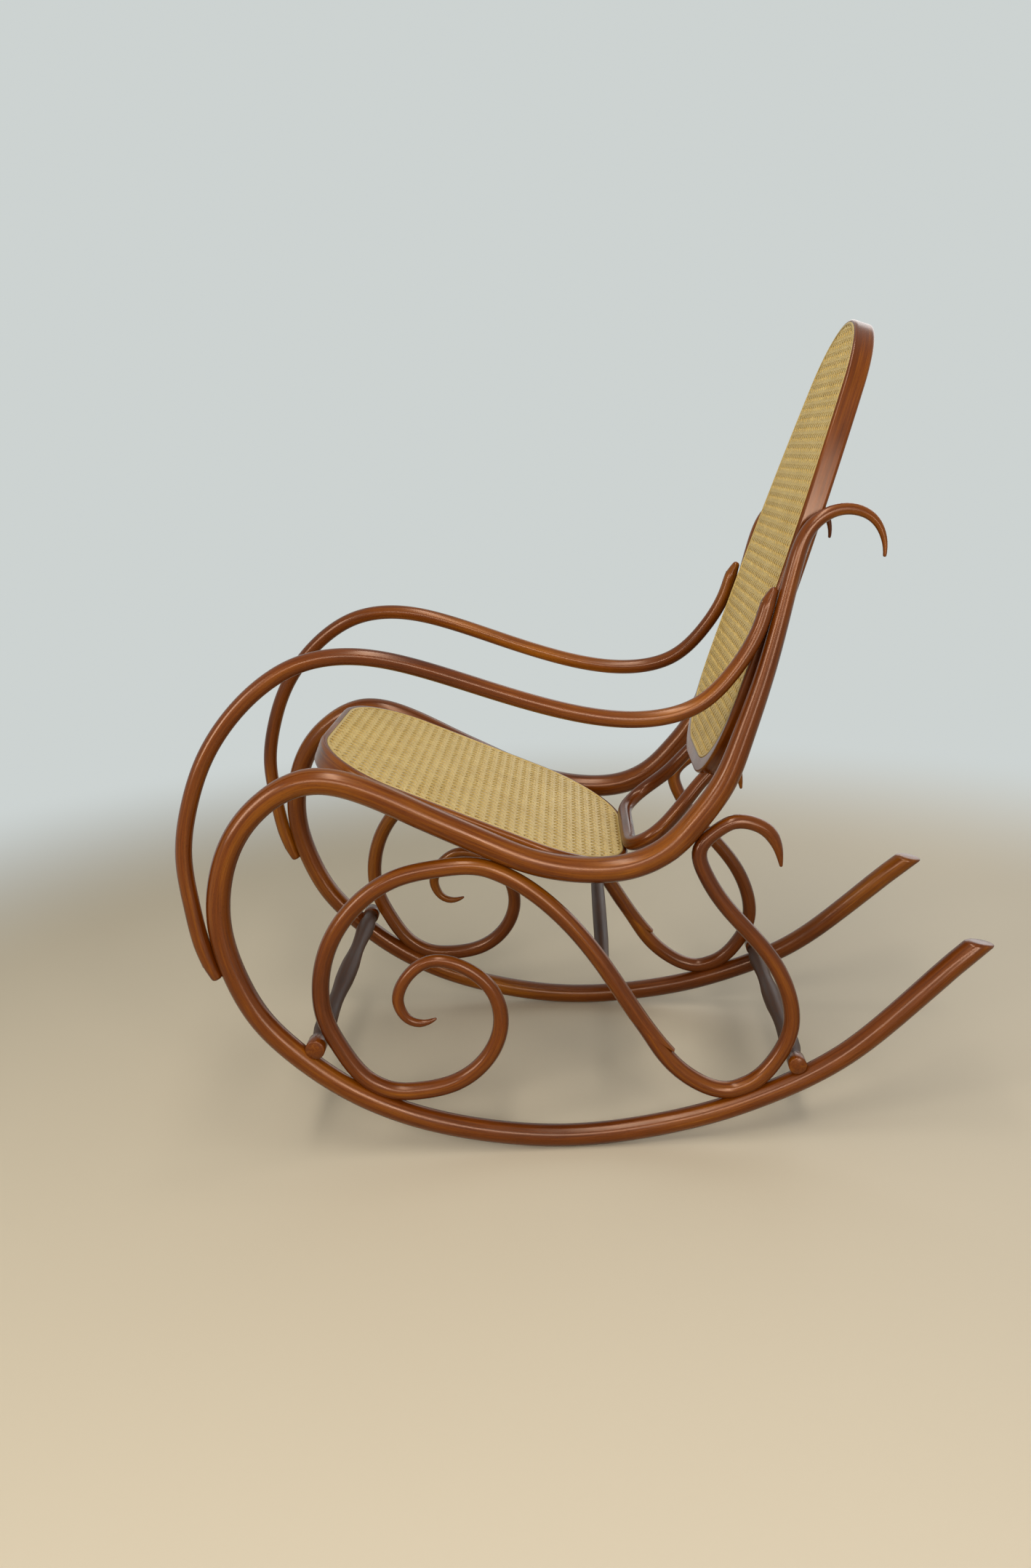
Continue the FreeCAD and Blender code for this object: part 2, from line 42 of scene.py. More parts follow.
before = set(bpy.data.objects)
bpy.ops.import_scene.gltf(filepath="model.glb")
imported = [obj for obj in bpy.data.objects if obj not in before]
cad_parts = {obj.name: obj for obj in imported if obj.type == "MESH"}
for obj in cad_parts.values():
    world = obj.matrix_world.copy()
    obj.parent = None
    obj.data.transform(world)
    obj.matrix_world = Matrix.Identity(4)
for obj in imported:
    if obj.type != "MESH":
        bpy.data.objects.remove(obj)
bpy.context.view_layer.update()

MM = 0.001

# stance of the sides, the seat and the back in the chair's frame, with turns in degrees
SHIFT = Vector((0.0, -0.3567, 0.1154)) * MM
HALF_SPACING = 230.5 * MM
SPLAY = 3.9
LEAN = -2.5
SEAT_ORIGIN = Vector((0, 0, 0.4048))
SEAT_FALL = -23.0
BACK_FOOT = Vector((0, 0.159, 0.520))
BACK_LEAN = 19.03
SIDE_PLACE = (Matrix.Translation(SHIFT + Vector((HALF_SPACING, 0, 0)))
              @ Matrix.Rotation(math.radians(SPLAY), 4, "Z")
              @ Matrix.Rotation(math.radians(LEAN), 4, "Y"))
SEAT_PLACE = Matrix.Translation(SHIFT + SEAT_ORIGIN) @ Matrix.Rotation(math.radians(SEAT_FALL), 4, "X")
BACK_PLACE = Matrix.Translation(SHIFT + BACK_FOOT) @ Matrix.Rotation(math.radians(90 - BACK_LEAN), 4, "X")

# bent rods: u, v and thickness
SIDE_RAIL = [
    (540.5, 285.5, 32), (471, 225, 32.5), (412, 171, 31.5), (351, 122, 31), (291, 88, 31), (231, 63, 31),
    (173, 44, 31), (95, 27, 31), (-45, 15.6, 31), (-148, 27, 31), (-243, 52, 31), (-345, 103, 31),
    (-409, 156, 32), (-452, 206, 32), (-481, 267, 32), (-497, 340, 32), (-492, 400, 32), (-470, 458, 32),
    (-425, 508, 32), (-366, 533, 35.5), (-300, 520, 35.5), (-226, 484, 35.5), (-145, 444, 35.5),
    (-71, 412, 35.5), (-2, 399.5, 35.5), (58, 404, 35.5), (110, 430, 35.5), (139, 460, 34.5), (177, 512, 33),
    (200, 568, 30), (225, 640, 26), (253.5, 743, 22), (267, 796, 21), (286, 838, 18.5), (318.6, 857, 15.5),
    (344.3, 856.2, 14.2), (364.4, 845.1, 11.8), (376.6, 825.3, 8.7), (379.3, 797, 4.3),
]
ARM = [
    (-505, 266.5, 15.5), (-514.9, 290.5, 21), (-522.4, 316, 22.5), (-531.4, 372, 22), (-535.9, 440, 22),
    (-522.4, 508, 22), (-498, 568, 22), (-463, 618, 22), (-420, 658, 22), (-371, 685, 22), (-301, 694, 22),
    (-215, 676, 22), (-129, 646, 22), (-57, 622, 22), (18, 604, 22), (90, 601, 22), (142, 616, 21.5),
    (190, 660, 20.5), (225.2, 722.2, 20.0), (231.8, 743.0, 19.5), (241.8, 763.2, 9),
]
FRONT_SCROLL = [
    (-214.6, 197.3, 3), (-221, 194.2, 6.5), (-238.1, 191.1, 11.2), (-252.5, 197, 12.8), (-262.6, 211.2, 15),
    (-265.8, 225, 16.3), (-262.8, 240, 17), (-254, 256, 17), (-222, 279, 17), (-175, 269, 18.5),
    (-138, 235, 20), (-127, 190, 21.5), (-147, 137, 23), (-190, 103, 24), (-240, 92, 24), (-285.1, 95.6, 24),
    (-297.2, 101.1, 24), (-308.4, 108.2, 24), (-346, 158, 24), (-366, 205, 24), (-368, 258, 24),
    (-349, 318, 24), (-311, 366, 24), (-262, 397, 24), (-205, 409, 24), (-138.6, 406.8, 24),
    (-125.2, 401.3, 24), (-111.9, 394.6, 24), (-61, 357, 24), (-17, 309, 24), (21, 254, 24), (56, 196, 24),
    (74, 168, 24), (108, 124, 24),
]
REAR_SCROLL = [
    (21, 254, 24), (56, 196, 24), (74, 168, 24), (100, 127, 24), (134, 94, 24), (192.2, 74.7, 23.5),
    (205.3, 78.4, 24), (217.8, 83.8, 24), (252, 118, 23), (271, 160, 22.5), (267, 212, 22), (239, 270, 22),
    (184, 337, 21.5), (152, 389, 21), (146.3, 424.2, 20.5), (151.8, 432.6, 20), (158.7, 439.2, 19.5),
    (175, 451, 19.4), (188.6, 457.2, 19.4), (201, 458.2, 19.4), (214.2, 455.6, 19.4), (226.4, 450.4, 19.4),
    (236.5, 443, 19.4), (243.8, 433, 17.4), (249, 421.4, 13.7), (252.5, 407, 8.8), (254.3, 393.5, 4),
]

# slanting cut at the rear tip of the runner, from its lower to its upper end
TIP_CUT = ((508.0, 281.0), (550.0, 272.4))

# long slanting joint of the two scrolls: its middle, its run, and how far it strays over half its length
SCARF_MIDDLE = Vector((0, 78, 162))
SCARF_RUN = Vector((0, 68, -99)).normalized()
SCARF_LENGTH = 74.0
SCARF_SLANT = 11.0

# bow behind the seat: x, y, z and thickness, half of it from its end to the middle of its bar
BOW = [
    (90, 171.6, 500.8, 18), (91, 165.1, 494.6, 19), (104.5, 123.6, 447.9, 21), (117, 83.3, 413.1, 21),
    (95.6, 61.0, 397.2, 21), (61.4, 56.1, 392.6, 21), (0, 56.1, 392.6, 21),
]

# turned stretchers: y and z of the axis, half length, radii of the belly, waist, neck and end cap
FRONT_STRETCHER = (-379.6, 163.3, 262.1, 14.5, 11.2, 10.5, 13.5)
REAR_STRETCHER = (279.1, 110.9, 219.1, 14.0, 11.0, 9.5, 12.5)
SCROLL_STRETCHER = (13.2, 264.8, 213.0)

# panels, drawn flat: x across, y along the panel, z out of its front face; the spare is the distance
# from a rounding to the next corner, and the cane reaches past its outline into the groove
SEAT_DEPTH = 34 * MM
BACK_DEPTH = 28 * MM
LEDGE_DEPTH = 2.2 * MM
OPENING_BEND = 0.003
SPARE = 0.0012
GROOVE = 4.2 * MM
GROOVE_DEPTH = 6 * MM
GROOVE_BEND = 0.0008
CANE_LEVEL = -0.0010
CANE_REACH = 0.0022

# wood screws: radii of the countersunk head, its depth below the rod's surface, and the slot
HEAD_RADIUS = 0.0040
HEAD_FOOT = 0.0020
HEAD_DEPTH = 0.0024
HEAD_SUNK = 0.0006
SLOT_HALF = 0.0005
SLOT_DEPTH = 0.0007

# starts of the wood's grain, so that no two rods show the same piece of it
MIRROR_GRAIN = 7.3
BOW_GRAIN = 3.1

# level of the surroundings as light on the chair, and as seen or reflected
DIM, SEEN = 0.17, 1.0

# lamps: name, spot, aim, width, height, watts and colour
LAMPS = (
    ("window_light", (2.4, 0.9, 1.05), (0, 0.15, 0.7), 0.5, 1.6, 22, (1.0, 0.96, 0.95)),
    ("low_strip_light", (2.5, -0.1, 1.35), (0, 0, 0.5), 2.2, 0.30, 23, (1.0, 0.96, 0.95)),
    ("ceiling_light", (0.9, -0.1, 2.7), (0, -0.1, 0), 0.36, 2.6, 34, (1.0, 0.97, 0.94)),
    ("front_light", (1.5, -1.8, 1.25), (0, 0, 0.5), 0.5, 1.0, 18, (1.0, 0.97, 0.94)),
    ("rear_light", (-2.1, 1.5, 1.5), (0, 0, 0.5), 2.6, 2.2, 24, (0.98, 0.98, 1.0)),
)

# the photograph's view: the camera's place, then where the X axis vanishes, the focal length and
# the picture's height in pixels, and the roll
CAMERA_SPOT = Vector((1.77244, -0.02430, 0.94188))
VANISH_X, VANISH_Y, FOCAL, PICTURE_HEIGHT = 69.1062, -462.5838, 1700.0, 2156.0
ROLL = -0.018789


class RodSizes(bpy.types.PropertyGroup):
    """Fineness of the bent rods."""

    sides: bpy.props.IntProperty(name="Sides", description="Faces round a rod", default=24, min=8)
    ring_step: bpy.props.FloatProperty(
        name="Ring step", description="Length of rod between two rings", default=0.006, min=0.001,
        unit="LENGTH")
    tip_round: bpy.props.FloatProperty(
        name="Tip rounding", description="Radius that the end of a rod is rounded to", default=0.004,
        unit="LENGTH")


class CaneSizes(bpy.types.PropertyGroup):
    """Weave of the seat and the back."""

    pitch: bpy.props.FloatProperty(
        name="Pitch", description="Distance between two pairs of strands", default=0.0141, unit="LENGTH")
    strand_width: bpy.props.FloatProperty(
        name="Strand width", description="Width of a strand of cane", default=0.0034, unit="LENGTH")
    strand_thickness: bpy.props.FloatProperty(
        name="Strand thickness", description="Thickness of a strand", default=0.0011, unit="LENGTH")
    pair_gap: bpy.props.FloatProperty(
        name="Pair spacing", description="Distance between the middles of the two strands of a pair",
        default=0.0037, unit="LENGTH")


def colour_property(name, description, default):
    """A colour that a user may change."""
    return bpy.props.FloatVectorProperty(
        name=name, description=description, subtype="COLOR", size=3, default=default)


class Colours(bpy.types.PropertyGroup):
    """Colours of the finishes."""

    wood_dark: colour_property("Wood, dark", "Darkest stain of the bent rods", (0.055, 0.008, 0.0006))
    wood_middle: colour_property("Wood, middle", "Usual stain of the bent rods", (0.138, 0.029, 0.0009))
    wood_light: colour_property("Wood, light", "Lightest stain of the bent rods", (0.28, 0.084, 0.0035))
    turned_dark: colour_property("Turned wood, dark", "Dark stain of stretchers", (0.030, 0.010, 0.003))
    turned_light: colour_property("Turned wood, light", "Light stain of stretchers", (0.085, 0.032, 0.011))
    cane_dark: colour_property("Cane, dark", "Darkest strands", (0.51, 0.345, 0.092))
    cane_light: colour_property("Cane, light", "Lightest strands", (0.70, 0.52, 0.185))
    brass: colour_property("Brass", "Screw heads", (0.35, 0.23, 0.11))
    background: colour_property("Background", "Pale surroundings", (0.61, 0.65, 0.64))
    floor: colour_property("Floor", "Pale floor", (0.58, 0.50, 0.36))


class BentRod:
    """A smooth line through the points of a rod, with the rod's thickness along it."""

    def __init__(self, spots, widths, side=Vector((1, 0, 0))):
        self.spots = spots
        self.widths = widths
        self.side = side
        self.knots = [0.0]
        for a, b in zip(spots, spots[1:]):
            self.knots.append(self.knots[-1] + (b - a).length)
        self.slopes = self.find_slopes()

    def end_slope(self, order):
        """Slope at the first of four spots, of the cubic through them."""
        times = [self.knots[i] for i in order]
        total = self.spots[order[0]] * sum(1 / (times[0] - t) for t in times[1:])
        for j in range(1, len(order)):
            share = 1 / (times[j] - times[0])
            for k in range(1, len(order)):
                if k != j:
                    share *= (times[0] - times[k]) / (times[j] - times[k])
            total = total + self.spots[order[j]] * share
        return total

    def find_slopes(self):
        """Slopes at the spots, so that the bending is continuous."""
        last = len(self.spots) - 1
        steps = [b - a for a, b in zip(self.knots, self.knots[1:])]
        first_slope = self.end_slope([0, 1, 2, 3])
        last_slope = self.end_slope([last, last - 1, last - 2, last - 3])
        upper = [0.0]
        right = [first_slope]
        for i in range(1, last):
            a, b = steps[i - 1], steps[i]
            before, after = self.spots[i] - self.spots[i - 1], self.spots[i + 1] - self.spots[i]
            pull = before * (b / a) + after * (a / b)
            middle = 2 * (a + b) - b * upper[i - 1]
            upper.append(a / middle)
            right.append((pull * 3 - right[i - 1] * b) / middle)
        slopes = [last_slope]
        for i in range(last - 1, 0, -1):
            slopes.append(right[i] - slopes[-1] * upper[i])
        slopes.append(first_slope)
        return slopes[::-1]

    def span(self, t):
        """Which stretch between two spots t is on."""
        for i in range(len(self.knots) - 2):
            if t <= self.knots[i + 1]:
                return i
        return len(self.knots) - 2

    def place(self, t):
        """Where the rod's middle line is at the length t."""
        i = self.span(t)
        h = self.knots[i + 1] - self.knots[i]
        k = (t - self.knots[i]) / h
        return (self.spots[i] * (1 + 2 * k) * (1 - k) ** 2 + self.slopes[i] * (h * k * (1 - k) ** 2)
                + self.spots[i + 1] * (k * k * (3 - 2 * k)) + self.slopes[i + 1] * (h * k * k * (k - 1)))

    def heading(self, t):
        """Way that the rod runs at t."""
        step = 0.5 * MM
        low, high = max(t - step, 0.0), min(t + step, self.knots[-1])
        return (self.place(high) - self.place(low)).normalized()

    def radius(self, t):
        """Half of the rod's thickness at t."""
        i = self.span(t)
        k = (t - self.knots[i]) / (self.knots[i + 1] - self.knots[i])
        return (self.widths[i] * (1 - k) + self.widths[i + 1] * k) / 2

    def nearest(self, spot, steps=800):
        """Length along the rod, of its place nearest to a spot."""
        times = [self.knots[-1] * i / steps for i in range(steps + 1)]
        return min(times, key=lambda t: (self.place(t) - spot).length)

    def ring_matrix(self, t, share=1.0):
        """Place, turn and size of the ring at t."""
        along = self.heading(t)
        across = along.cross(self.side).normalized()
        side = across.cross(along)
        turn = Matrix((side, across, along)).transposed().to_4x4()
        return Matrix.Translation(self.place(t)) @ turn @ Matrix.Scale(self.radius(t) * share, 4)


def side_rod(points):
    """A rod of a side, drawn flat in millimetres, as a line in metres."""
    return BentRod([Vector((0, u, v)) * MM for u, v, d in points], [d * MM for u, v, d in points])


def write_grain(bm, spot_layer, offset=0.0):
    """Copies each point's straightened place to the corners of its faces, for the wood's grain."""
    grain = bm.loops.layers.float_vector.get("grain") or bm.loops.layers.float_vector.new("grain")
    for face in bm.faces:
        for loop in face.loops:
            x, y, s = loop.vert[spot_layer]
            loop[grain] = (x, y, s + offset)


def sweep(bm, edges, spot_layer, matrices, lengths, shares):
    """Extrudes a closed loop of edges through a row of places, and returns the last loop."""
    previous = matrices[0]
    for i in range(1, len(matrices)):
        result = bmesh.ops.extrude_edge_only(bm, edges=edges)["geom"]
        verts = [g for g in result if isinstance(g, bmesh.types.BMVert)]
        edges = [g for g in result if isinstance(g, bmesh.types.BMEdge)]
        bmesh.ops.transform(bm, matrix=matrices[i] @ previous.inverted(), verts=verts)
        for v in verts:
            x, y, s = v[spot_layer]
            v[spot_layer] = (x * shares[i] / shares[i - 1], y * shares[i] / shares[i - 1], lengths[i])
        previous = matrices[i]
    return edges


def rod_mesh(rod, sizes, start=None, end=None, round_ends=(True, True), tip_rings=5):
    """A round rod with softly rounded ends. A tip that is thinner than its rounding keeps a small flat."""
    start = 0.0 if start is None else start
    end = rod.knots[-1] if end is None else end
    places = []
    count = max(2, math.ceil((end - start) / sizes.ring_step))
    for i in range(count + 1):
        places.append((start + (end - start) * i / count, 1.0))
    for which, at_end in enumerate((False, True)):
        if not round_ends[which]:
            continue
        tip = end if at_end else start
        radius = rod.radius(tip)
        bend = min(radius * 0.96, sizes.tip_round)
        inward = -1 if at_end else 1
        places = [p for p in places if abs(p[0] - tip) > bend * 1.05]
        rounding = []
        for k in range(tip_rings + 1):
            angle = math.radians(90) * k / tip_rings
            rounding.append((tip + inward * bend * (1 - math.sin(angle)),
                             (radius - bend + bend * math.cos(angle)) / radius))
        rounding = rounding if at_end else rounding[::-1]
        places = places + rounding if at_end else rounding + places
    bm = bmesh.new()
    spot_layer = bm.verts.layers.float_vector.new("spot")
    matrices = [rod.ring_matrix(t, share) for t, share in places]
    lengths = [t for t, share in places]
    shares = [rod.radius(t) * share for t, share in places]
    ring = bmesh.ops.create_circle(bm, segments=sizes.sides, radius=1.0)["verts"]
    for v in ring:
        v[spot_layer] = (v.co.x * shares[0], v.co.y * shares[0], lengths[0])
    first = list(bm.edges)
    bmesh.ops.transform(bm, matrix=matrices[0], verts=ring)
    last = sweep(bm, first, spot_layer, matrices, lengths, shares)
    bmesh.ops.edgeloop_fill(bm, edges=first)
    bmesh.ops.edgeloop_fill(bm, edges=last)
    bmesh.ops.recalc_face_normals(bm, faces=bm.faces)
    return bm, spot_layer


def finish_piece(bm, name, materials, nodes, sharp=40):
    """Makes the mesh an object that rides on the chair and stands for its CAD nodes."""
    for layer in list(bm.verts.layers.float_vector.values()):
        bm.verts.layers.float_vector.remove(layer)
    for face in bm.faces:
        face.smooth = True
    mesh = bpy.data.meshes.new(name)
    bm.to_mesh(mesh)
    bm.free()
    for material in materials:
        mesh.materials.append(material)
    mesh.set_sharp_from_angle(angle=math.radians(sharp))
    piece = bpy.data.objects.new(name, mesh)
    bpy.context.scene.collection.objects.link(piece)
    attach(piece, "root")
    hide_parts(*nodes)


def finish_pair(bm, spot_layer, name, materials, kind="bent"):
    """Left piece, and its mirror image on the right, each with its own stretch of grain."""
    bmesh.ops.transform(bm, matrix=SIDE_PLACE, verts=bm.verts)
    other = bm.copy()
    write_grain(bm, spot_layer)
    write_grain(other, other.verts.layers.float_vector["spot"], MIRROR_GRAIN)
    bmesh.ops.transform(other, matrix=Matrix.Scale(-1, 4, (1, 0, 0)), verts=other.verts)
    bmesh.ops.reverse_faces(other, faces=other.faces)
    finish_piece(bm, name + "_left_" + kind, materials, [name + "_left"])
    finish_piece(other, name + "_right_" + kind, materials, [name + "_right"])


def trace(parts, steps):
    """Even places round an outline: point, outward direction, length so far.

    The parts run from the low middle to the high middle of the right half, and are mirrored. A part
    is a line with its two ends, or an arc with its middle, its radius and its two angles.
    """
    lengths = []
    for part in parts:
        if part[0] == "line":
            lengths.append((Vector(part[2]) - Vector(part[1])).length)
        else:
            lengths.append(part[2] * abs(part[4] - part[3]))
    whole = sum(lengths)
    half = []
    for k in range(steps + 1):
        goal = whole * k / steps
        i = 0
        while i < len(parts) - 1 and goal > lengths[i]:
            goal -= lengths[i]
            i += 1
        share = min(goal / lengths[i], 1.0)
        part = parts[i]
        if part[0] == "line":
            a, b = Vector(part[1]), Vector(part[2])
            way = (b - a).normalized()
            point, out = a + (b - a) * share, Vector((way.y, -way.x))
        else:
            angle = part[3] + (part[4] - part[3]) * share
            out = Vector((math.cos(angle), math.sin(angle)))
            point = Vector(part[1]) + out * part[2]
        half.append((point, out, whole * k / steps))
    other = [(Vector((-p.x, p.y)), Vector((-n.x, n.y)), 2 * whole - s) for p, n, s in half[-2:0:-1]]
    return half + other


def seat_outline(steps=150):
    """Outline of the seat's cane."""
    half, front, rear, front_r, rear_r = 0.198, -0.393, 0.048, 0.112, 0.130
    quarter = math.pi / 2
    return trace([
        ("line", (0, front), (half - front_r, front)),
        ("arc", (half - front_r, front + front_r), front_r, -quarter, 0.0),
        ("line", (half, front + front_r), (half, rear - rear_r)),
        ("arc", (half - rear_r, rear - rear_r), rear_r, 0.0, quarter),
        ("line", (half - rear_r, rear), (0, rear)),
    ], steps)


def back_outline(out=0.0, foot=0.0, steps=170):
    """Outline of the back's cane, or one that is wider by out, and by foot at the foot."""
    half, top_r, foot_r = 0.164 + out, 0.109 + out, 0.117 + out
    low, top_y = -0.004 - foot, 0.4925
    foot_x, foot_y = half - foot_r, low + foot_r
    rise = top_y - foot_y
    flank_r = (rise ** 2 + half ** 2 - top_r ** 2) / (2 * (half - top_r))
    turn = math.atan2(rise, flank_r - half)
    return trace([
        ("line", (0, low), (foot_x, low)),
        ("arc", (foot_x, foot_y), foot_r, -math.pi / 2, 0.0),
        ("arc", (half - flank_r, foot_y), flank_r, 0.0, turn),
        ("arc", (0, top_y), top_r, turn, math.pi / 2),
    ], steps)


def moved_out(outline, out=0.0):
    """The outline moved outwards, as a plain list of points."""
    return [p + n * out for p, n, s in outline]


def crossings(points, start, way):
    """How far along a straight line it enters and leaves a closed outline."""
    side = Vector((-way.y, way.x))
    found = []
    for a, b in zip(points, points[1:] + points[:1]):
        da, db = (a - start).dot(side), (b - start).dot(side)
        if (da < 0) != (db < 0):
            found.append(((a + (b - a) * (da / (da - db))) - start).dot(way))
    return (min(found), max(found)) if len(found) >= 2 else None


def hoop_mesh(outline, corners, place):
    """A ring round an outline, with a section of corners (out, height, rounding)."""
    bm = bmesh.new()
    spot_layer = bm.verts.layers.float_vector.new("spot")
    section = [bm.verts.new((out, height, 0)) for out, height, bend in corners]
    bm.faces.new(section)
    for vert, (out, height, bend) in zip(section, corners):
        if bend:
            bmesh.ops.bevel(bm, geom=[vert], offset=bend, offset_type="OFFSET", affect="VERTICES", segments=4,
                            profile=0.5, material=-1)
    bmesh.ops.delete(bm, geom=list(bm.faces), context="FACES_ONLY")
    for v in bm.verts:
        v[spot_layer] = (v.co.x, v.co.y, 0.0)
    matrices = []
    for point, out, s in outline + outline[:1]:
        turn = Matrix((Vector((out.x, out.y, 0)), Vector((0, 0, 1)), Vector((out.y, -out.x, 0)))).transposed()
        matrices.append(place @ Matrix.Translation((point.x, point.y, 0)) @ turn.to_4x4())
    whole = outline[1][2] * len(outline)
    lengths = [s for p, n, s in outline] + [whole]
    bmesh.ops.transform(bm, matrix=matrices[0], verts=bm.verts)
    sweep(bm, list(bm.edges), spot_layer, matrices, lengths, [1.0] * len(lengths))
    return bm, spot_layer


def close_hoop(bm, nearest=0.00002):
    """Joins the last section of a hoop to its first."""
    bmesh.ops.remove_doubles(bm, verts=bm.verts, dist=nearest)
    bmesh.ops.recalc_face_normals(bm, faces=bm.faces)


def wood_section(rim, ledge, depth, bend):
    """Section of a hoop: outer side, back, opening, ledge for the cane, groove for its strip.

    The spare corners beside the roundings keep the flat sides flat.
    """
    spare = bend + SPARE
    inner = OPENING_BEND + SPARE
    return [(rim, 0, bend), (rim, -spare, 0), (rim, spare - depth, 0), (rim, -depth, bend),
            (rim - spare, -depth, 0), (inner - ledge, -depth, 0), (-ledge, -depth, OPENING_BEND),
            (-ledge, inner - depth, 0), (-ledge, -LEDGE_DEPTH, 0), (0, -LEDGE_DEPTH, 0),
            (0, -GROOVE_DEPTH, 0), (GROOVE, -GROOVE_DEPTH, 0), (GROOVE, 0, GROOVE_BEND)]


def strip_section(play=0.0002, foot=-0.0058, crown=0.0006, bend=0.0014):
    """Section of the strip that holds the cane, a little narrower than its groove."""
    return [(play, foot, 0), (GROOVE - play, foot, 0), (GROOVE - play, crown, bend), (play, crown, bend)]


def fit_hoop(bm, spot_layer, outline, place, rim, ledge, outside, opening):
    """Moves the outer side and the opening of a hoop from the given distances to their own outlines.

    The groove, its rounding and the ledge's step, between x = 0 and the groove's rim, stay in place.
    """
    step = outline[1][2]
    margin = 0.0001
    moves = []
    for point, out, s in outline:
        across = place.to_3x3() @ Vector((out.x, out.y, 0))
        moves.append((across * (crossings(outside, point, out)[1] - rim),
                      across * (crossings(opening, point, out)[1] + ledge)))
    for v in bm.verts:
        x, y, s = v[spot_layer]
        outer, inner = moves[round(s / step) % len(outline)]
        if x > GROOVE + GROOVE_BEND + margin:
            v.co += outer
        elif x < -margin:
            v.co += inner


def strand_mesh(start, end, place, width, thickness, height, steps, tone, out):
    """One flat strand of cane from start to end, which rises and falls with the height at each point."""
    bm = bmesh.new()
    tone_layer = bm.verts.layers.float.new("tone")
    bmesh.ops.create_grid(bm, x_segments=steps, y_segments=1, size=0.5)
    way = end - start
    side = Vector((-way.y, way.x)).normalized()
    for v in bm.verts:
        share = v.co.x + 0.5
        spot = start + way * share + side * (v.co.y * width)
        v.co = Vector((spot.x, spot.y, height(start + way * share)))
        v[tone_layer] = tone
    bmesh.ops.solidify(bm, geom=list(bm.faces), thickness=thickness)
    bmesh.ops.transform(bm, matrix=place, verts=bm.verts)
    bmesh.ops.recalc_face_normals(bm, faces=bm.faces)
    scrap = bpy.data.meshes.new("strand")
    bm.to_mesh(scrap)
    bm.free()
    out.from_mesh(scrap)
    bpy.data.meshes.remove(scrap)


def weave(outline, place, cane, seed):
    """The strands of a panel in three layers: lengthwise pairs, crosswise pairs, diagonals."""
    rng = random.Random(seed)
    edge = moved_out(outline, CANE_REACH)
    xs = [p.x for p in edge]
    ys = [p.y for p in edge]
    pitch, pair = cane.pitch, cane.pair_gap / 2
    wave, lift = cane.strand_thickness * 0.5, cane.strand_thickness * 1.15
    shortest = pitch * 0.6
    straight_steps, slant_steps = 4, 2.83
    middle_y = (min(ys) + max(ys)) / 2
    turn = 2 * math.pi / pitch

    def strand(bm, start, way, height, steps_per_pitch):
        span = crossings(edge, start, way)
        if span is None or span[1] - span[0] < shortest:
            return
        a, b = start + way * span[0], start + way * span[1]
        steps = max(2, round((span[1] - span[0]) / pitch * steps_per_pitch))
        strand_mesh(a, b, place, cane.strand_width, cane.strand_thickness,
                    lambda p: CANE_LEVEL + height(p), steps, rng.random(), bm)

    lengthwise = bmesh.new()
    crosswise = bmesh.new()
    diagonal = bmesh.new()
    columns = math.ceil(max(xs) / pitch) + 1
    rows = math.ceil((max(ys) - middle_y) / pitch) + 1
    for i in range(-columns, columns + 1):
        for sign in (-1, 1):
            start = Vector((i * pitch + sign * pair, middle_y))
            strand(lengthwise, start, Vector((0, 1)),
                   lambda p, sign=sign: -sign * wave * math.sin((p.y - middle_y) * turn), straight_steps)
    for j in range(-rows, rows + 1):
        for sign in (-1, 1):
            start = Vector((0, middle_y + j * pitch + sign * pair))
            strand(crosswise, start, Vector((1, 0)),
                   lambda p, sign=sign: sign * wave * math.sin(p.x * turn), straight_steps)
    reach = columns + rows + 1
    for k in range(-reach, reach + 1):
        for sign in (-1, 1):
            start = Vector(((k + 0.5) * pitch, middle_y))
            way = Vector((1, sign)).normalized()
            strand(diagonal, start, way,
                   lambda p, sign=sign: -sign * lift * math.cos(p.x * turn), slant_steps)
    return lengthwise, crosswise, diagonal


